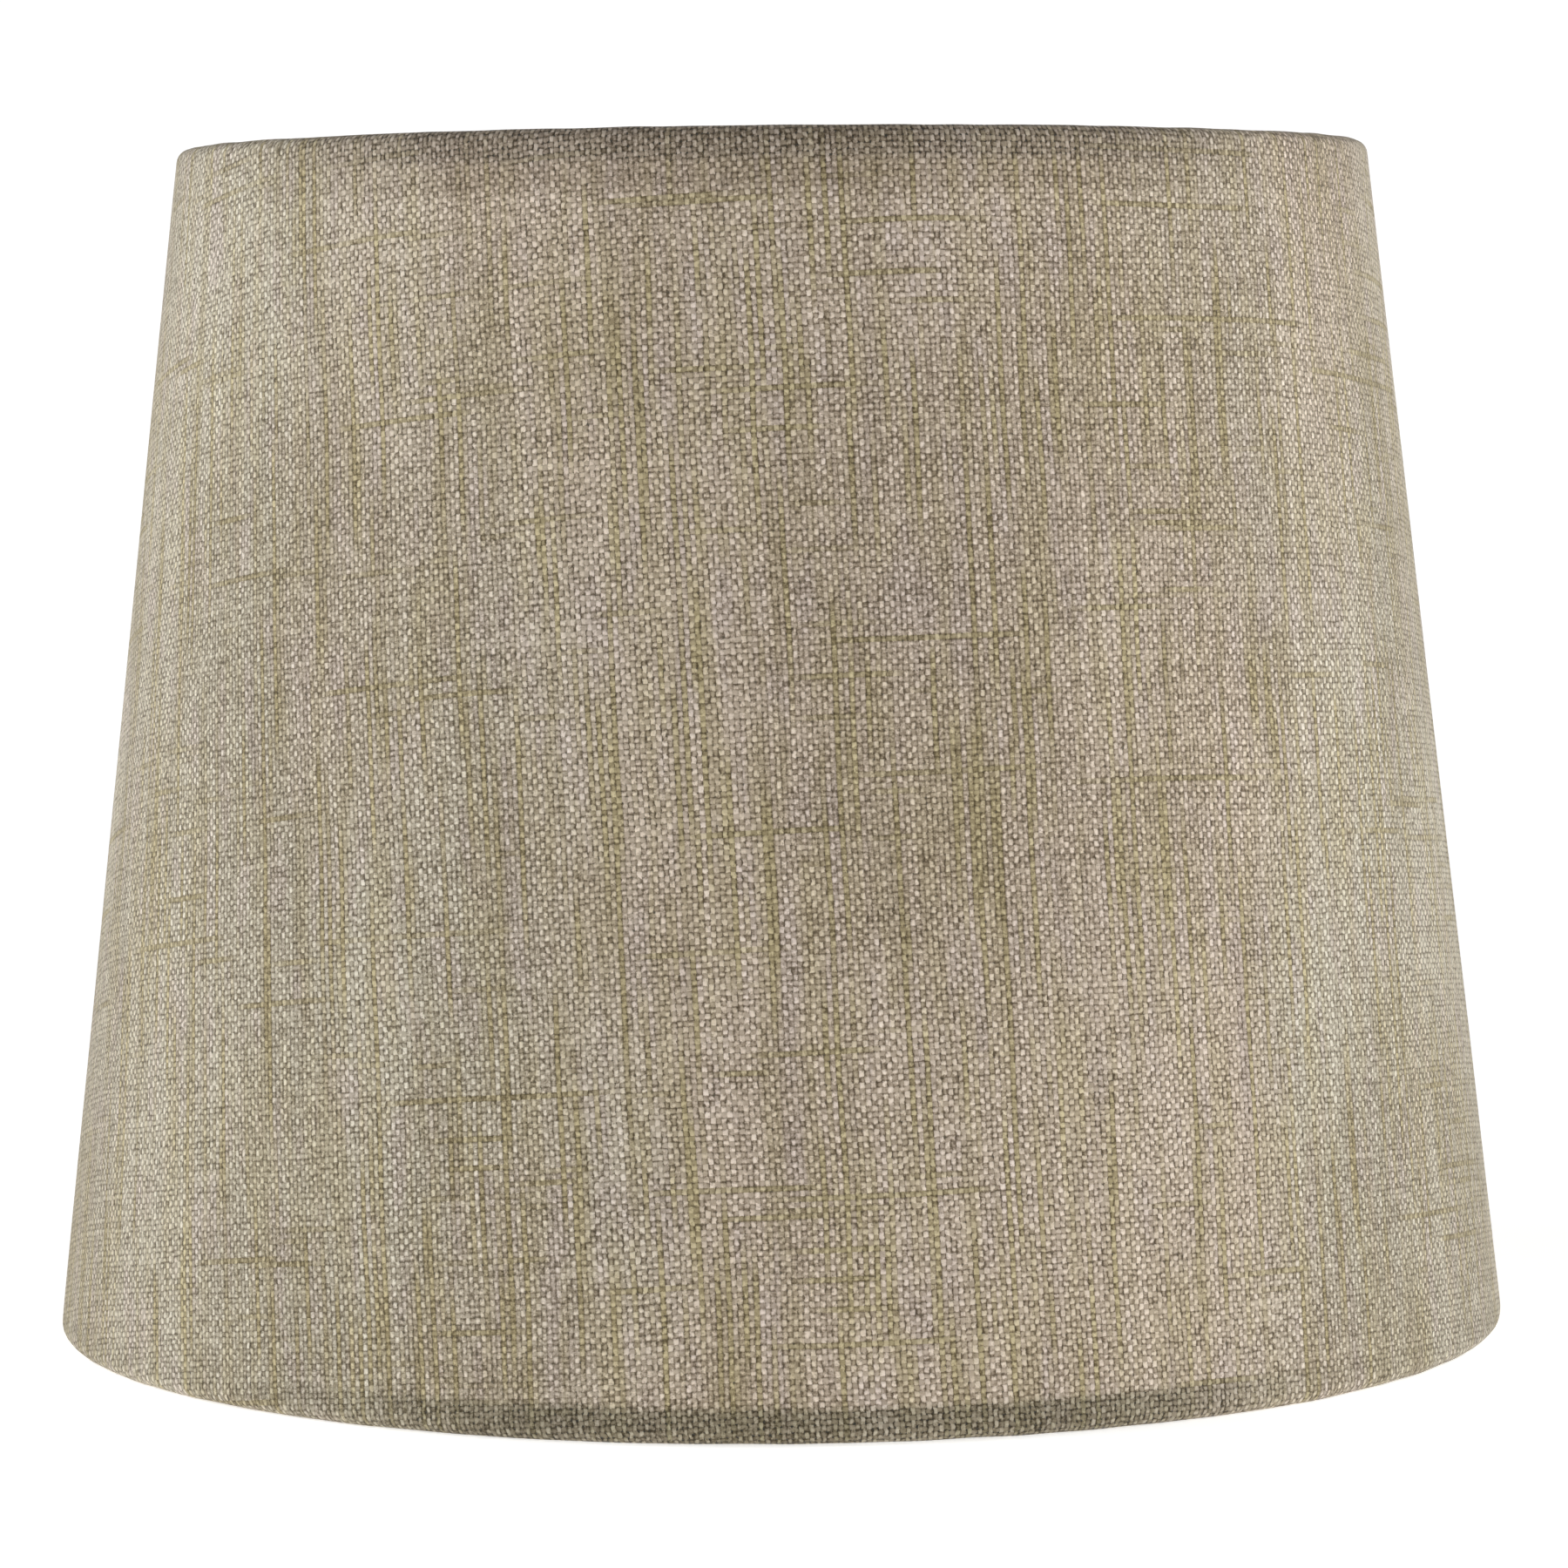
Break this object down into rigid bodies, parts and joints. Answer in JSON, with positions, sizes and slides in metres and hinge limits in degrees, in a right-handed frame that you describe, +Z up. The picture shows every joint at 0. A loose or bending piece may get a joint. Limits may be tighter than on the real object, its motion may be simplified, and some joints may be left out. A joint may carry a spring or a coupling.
{
  "type": "lamp shade",
  "caption": "Tapered drum lamp shade: linen-look cloth on a stiff liner, edges rolled over wire rings, lap seam at the back, recessed spider fitter that clamps onto a lamp harp.",
  "frame": {"origin": "centre of the bottom rim's plane, on the shade's axis", "axes": "+Z up along the shade's axis, narrow end up; -Y is the front, and the lap seam is at the back, 20 degrees round from +Y towards -X"},
  "size_m": [0.2791, 0.2791, 0.2272],
  "materials": {
    "linen_cloth": "matt plain weave of slubbed taupe and olive yarns",
    "white_styrene": "smooth satin sheet",
    "tape_film": "clear adhesive film, slightly yellow",
    "plated_wire": "zinc plated, satin",
    "weld_steel": "plated over a rough resistance weld, darker than the wire"
  },
  "bodies": {
    "root": {"fabric_cover": "linen_cloth", "styrene_liner": "white_styrene", "seam_tape": "tape_film", "top_ring": "plated_wire", "bottom_ring": "plated_wire", "fitter_washer": "plated_wire", "spoke_1": "plated_wire", "spoke_2": "plated_wire", "spoke_3": "plated_wire", "ring_weld_1": "weld_steel", "ring_weld_2": "weld_steel", "ring_weld_3": "weld_steel", "washer_weld_1": "weld_steel", "washer_weld_2": "weld_steel", "washer_weld_3": "weld_steel"}
  },
  "joints": []
}
